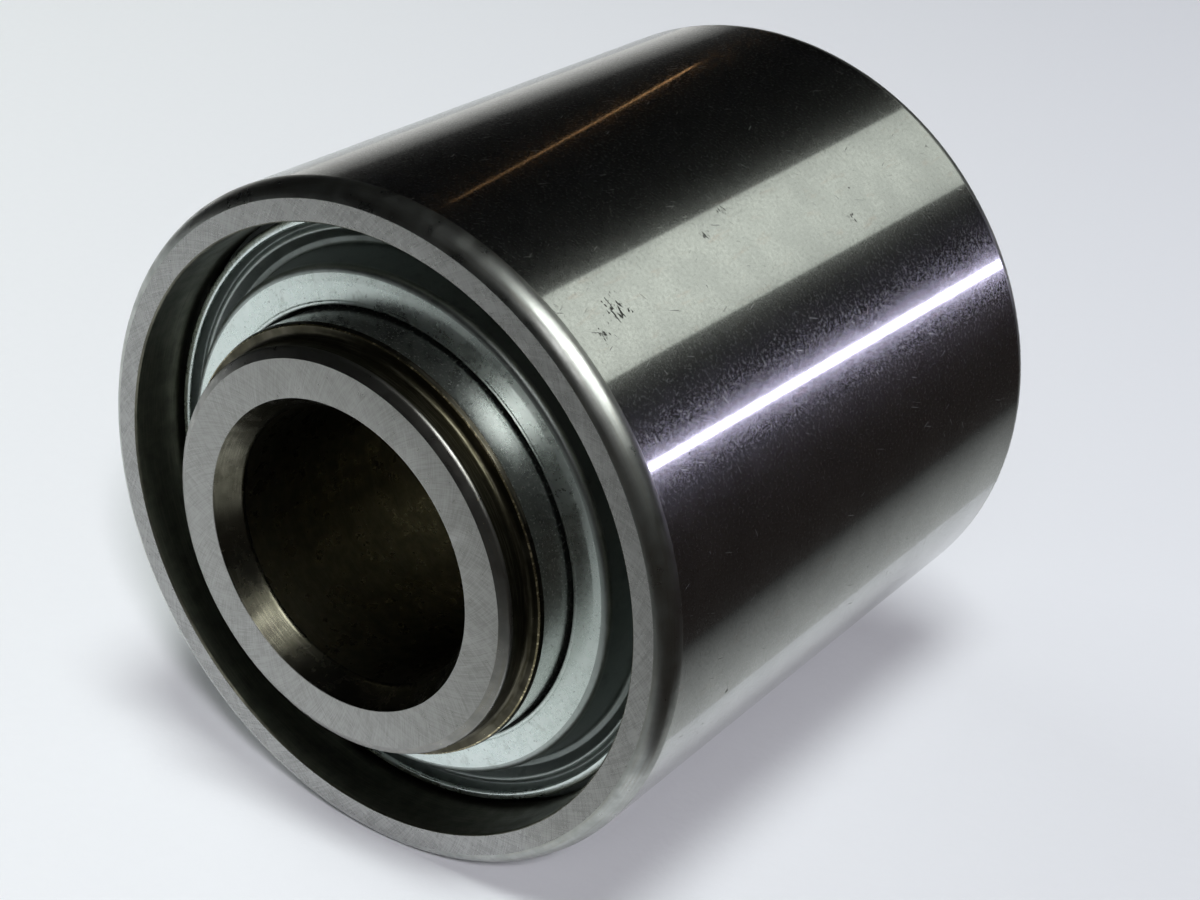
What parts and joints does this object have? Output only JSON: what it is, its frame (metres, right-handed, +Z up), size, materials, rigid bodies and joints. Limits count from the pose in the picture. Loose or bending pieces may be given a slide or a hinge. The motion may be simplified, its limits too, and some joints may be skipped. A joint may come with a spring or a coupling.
{
  "type": "cam follower",
  "caption": "Double-row ball bearing cam follower: a thick rolling outer ring with pressed end shields turns on a longer inner ring with a through bore for a bolt.",
  "frame": {"origin": "middle of the bore, halfway between the two ends of the inner ring", "axes": "+Y along the bore and rolling axis, towards the back end; +Z up with the follower lying on its rolling surface; +X completes the right-handed frame"},
  "size_m": [0.04, 0.0442, 0.04],
  "materials": {
    "outer_ring_steel": "ground and polished bearing steel",
    "inner_ring_steel": "ground faces, turned dark nose and bore mouth",
    "shield_zinc": "zinc plated pressed sheet",
    "seal_rubber": "moulded nitrile rubber",
    "cage_nylon": "moulded nylon",
    "ball_steel": "polished bearing steel"
  },
  "bodies": {
    "inner": {"inner_ring": "inner_ring_steel"},
    "outer": {"outer_ring": "outer_ring_steel", "shield_front": "shield_zinc", "shield_back": "shield_zinc", "seal_front": "seal_rubber", "seal_back": "seal_rubber"},
    "cage_front_row": {"cage_front": "cage_nylon"},
    "cage_back_row": {"cage_back": "cage_nylon"},
    "ball_front_1_body": {"ball_front_1": "ball_steel"},
    "ball_front_2_body": {"ball_front_2": "ball_steel"},
    "ball_front_3_body": {"ball_front_3": "ball_steel"},
    "ball_front_4_body": {"ball_front_4": "ball_steel"},
    "ball_front_5_body": {"ball_front_5": "ball_steel"},
    "ball_front_6_body": {"ball_front_6": "ball_steel"},
    "ball_front_7_body": {"ball_front_7": "ball_steel"},
    "ball_front_8_body": {"ball_front_8": "ball_steel"},
    "ball_front_9_body": {"ball_front_9": "ball_steel"},
    "ball_back_1_body": {"ball_back_1": "ball_steel"},
    "ball_back_2_body": {"ball_back_2": "ball_steel"},
    "ball_back_3_body": {"ball_back_3": "ball_steel"},
    "ball_back_4_body": {"ball_back_4": "ball_steel"},
    "ball_back_5_body": {"ball_back_5": "ball_steel"},
    "ball_back_6_body": {"ball_back_6": "ball_steel"},
    "ball_back_7_body": {"ball_back_7": "ball_steel"},
    "ball_back_8_body": {"ball_back_8": "ball_steel"},
    "ball_back_9_body": {"ball_back_9": "ball_steel"}
  },
  "joints": [
    {"name": "outer_spin", "type": "hinge", "parent": "inner", "child": "outer", "pos_m": [0, 0, 0], "axis": [0, 1, 0], "continuous": true},
    {"name": "cage_front_spin", "type": "hinge", "parent": "inner", "child": "cage_front_row", "pos_m": [0, -0.0078, 0], "axis": [0, 1, 0], "continuous": true},
    {"name": "cage_back_spin", "type": "hinge", "parent": "inner", "child": "cage_back_row", "pos_m": [0, 0.0078, 0], "axis": [0, 1, 0], "continuous": true},
    {"name": "ball_front_1_spin", "type": "hinge", "parent": "cage_front_row", "child": "ball_front_1_body", "pos_m": [0.01435, -0.0078, 0], "axis": [-0.5, 0.866, 0], "continuous": true},
    {"name": "ball_front_2_spin", "type": "hinge", "parent": "cage_front_row", "child": "ball_front_2_body", "pos_m": [0.01099, -0.0078, 0.00922], "axis": [-0.383, 0.866, -0.3214], "continuous": true},
    {"name": "ball_front_3_spin", "type": "hinge", "parent": "cage_front_row", "child": "ball_front_3_body", "pos_m": [0.00249, -0.0078, 0.01413], "axis": [-0.0868, 0.866, -0.4924], "continuous": true},
    {"name": "ball_front_4_spin", "type": "hinge", "parent": "cage_front_row", "child": "ball_front_4_body", "pos_m": [-0.00717, -0.0078, 0.01243], "axis": [0.25, 0.866, -0.433], "continuous": true},
    {"name": "ball_front_5_spin", "type": "hinge", "parent": "cage_front_row", "child": "ball_front_5_body", "pos_m": [-0.01348, -0.0078, 0.00491], "axis": [0.4698, 0.866, -0.171], "continuous": true},
    {"name": "ball_front_6_spin", "type": "hinge", "parent": "cage_front_row", "child": "ball_front_6_body", "pos_m": [-0.01348, -0.0078, -0.00491], "axis": [0.4698, 0.866, 0.171], "continuous": true},
    {"name": "ball_front_7_spin", "type": "hinge", "parent": "cage_front_row", "child": "ball_front_7_body", "pos_m": [-0.00717, -0.0078, -0.01243], "axis": [0.25, 0.866, 0.433], "continuous": true},
    {"name": "ball_front_8_spin", "type": "hinge", "parent": "cage_front_row", "child": "ball_front_8_body", "pos_m": [0.00249, -0.0078, -0.01413], "axis": [-0.0868, 0.866, 0.4924], "continuous": true},
    {"name": "ball_front_9_spin", "type": "hinge", "parent": "cage_front_row", "child": "ball_front_9_body", "pos_m": [0.01099, -0.0078, -0.00922], "axis": [-0.383, 0.866, 0.3214], "continuous": true},
    {"name": "ball_back_1_spin", "type": "hinge", "parent": "cage_back_row", "child": "ball_back_1_body", "pos_m": [0.01435, 0.0078, 0], "axis": [0.5, 0.866, 0], "continuous": true},
    {"name": "ball_back_2_spin", "type": "hinge", "parent": "cage_back_row", "child": "ball_back_2_body", "pos_m": [0.01099, 0.0078, 0.00922], "axis": [0.383, 0.866, 0.3214], "continuous": true},
    {"name": "ball_back_3_spin", "type": "hinge", "parent": "cage_back_row", "child": "ball_back_3_body", "pos_m": [0.00249, 0.0078, 0.01413], "axis": [0.0868, 0.866, 0.4924], "continuous": true},
    {"name": "ball_back_4_spin", "type": "hinge", "parent": "cage_back_row", "child": "ball_back_4_body", "pos_m": [-0.00717, 0.0078, 0.01243], "axis": [-0.25, 0.866, 0.433], "continuous": true},
    {"name": "ball_back_5_spin", "type": "hinge", "parent": "cage_back_row", "child": "ball_back_5_body", "pos_m": [-0.01348, 0.0078, 0.00491], "axis": [-0.4698, 0.866, 0.171], "continuous": true},
    {"name": "ball_back_6_spin", "type": "hinge", "parent": "cage_back_row", "child": "ball_back_6_body", "pos_m": [-0.01348, 0.0078, -0.00491], "axis": [-0.4698, 0.866, -0.171], "continuous": true},
    {"name": "ball_back_7_spin", "type": "hinge", "parent": "cage_back_row", "child": "ball_back_7_body", "pos_m": [-0.00717, 0.0078, -0.01243], "axis": [-0.25, 0.866, -0.433], "continuous": true},
    {"name": "ball_back_8_spin", "type": "hinge", "parent": "cage_back_row", "child": "ball_back_8_body", "pos_m": [0.00249, 0.0078, -0.01413], "axis": [0.0868, 0.866, -0.4924], "continuous": true},
    {"name": "ball_back_9_spin", "type": "hinge", "parent": "cage_back_row", "child": "ball_back_9_body", "pos_m": [0.01099, 0.0078, -0.00922], "axis": [0.383, 0.866, -0.3214], "continuous": true}
  ],
  "couplings": [
    {"joint": "cage_front_spin", "follows": "outer_spin", "ratio": 0.6018},
    {"joint": "cage_back_spin", "follows": "outer_spin", "ratio": 0.6018},
    {"joint": "ball_front_1_spin", "follows": "outer_spin", "ratio": 2.0387},
    {"joint": "ball_front_2_spin", "follows": "outer_spin", "ratio": 2.0387},
    {"joint": "ball_front_3_spin", "follows": "outer_spin", "ratio": 2.0387},
    {"joint": "ball_front_4_spin", "follows": "outer_spin", "ratio": 2.0387},
    {"joint": "ball_front_5_spin", "follows": "outer_spin", "ratio": 2.0387},
    {"joint": "ball_front_6_spin", "follows": "outer_spin", "ratio": 2.0387},
    {"joint": "ball_front_7_spin", "follows": "outer_spin", "ratio": 2.0387},
    {"joint": "ball_front_8_spin", "follows": "outer_spin", "ratio": 2.0387},
    {"joint": "ball_front_9_spin", "follows": "outer_spin", "ratio": 2.0387},
    {"joint": "ball_back_1_spin", "follows": "outer_spin", "ratio": 2.0387},
    {"joint": "ball_back_2_spin", "follows": "outer_spin", "ratio": 2.0387},
    {"joint": "ball_back_3_spin", "follows": "outer_spin", "ratio": 2.0387},
    {"joint": "ball_back_4_spin", "follows": "outer_spin", "ratio": 2.0387},
    {"joint": "ball_back_5_spin", "follows": "outer_spin", "ratio": 2.0387},
    {"joint": "ball_back_6_spin", "follows": "outer_spin", "ratio": 2.0387},
    {"joint": "ball_back_7_spin", "follows": "outer_spin", "ratio": 2.0387},
    {"joint": "ball_back_8_spin", "follows": "outer_spin", "ratio": 2.0387},
    {"joint": "ball_back_9_spin", "follows": "outer_spin", "ratio": 2.0387}
  ]
}
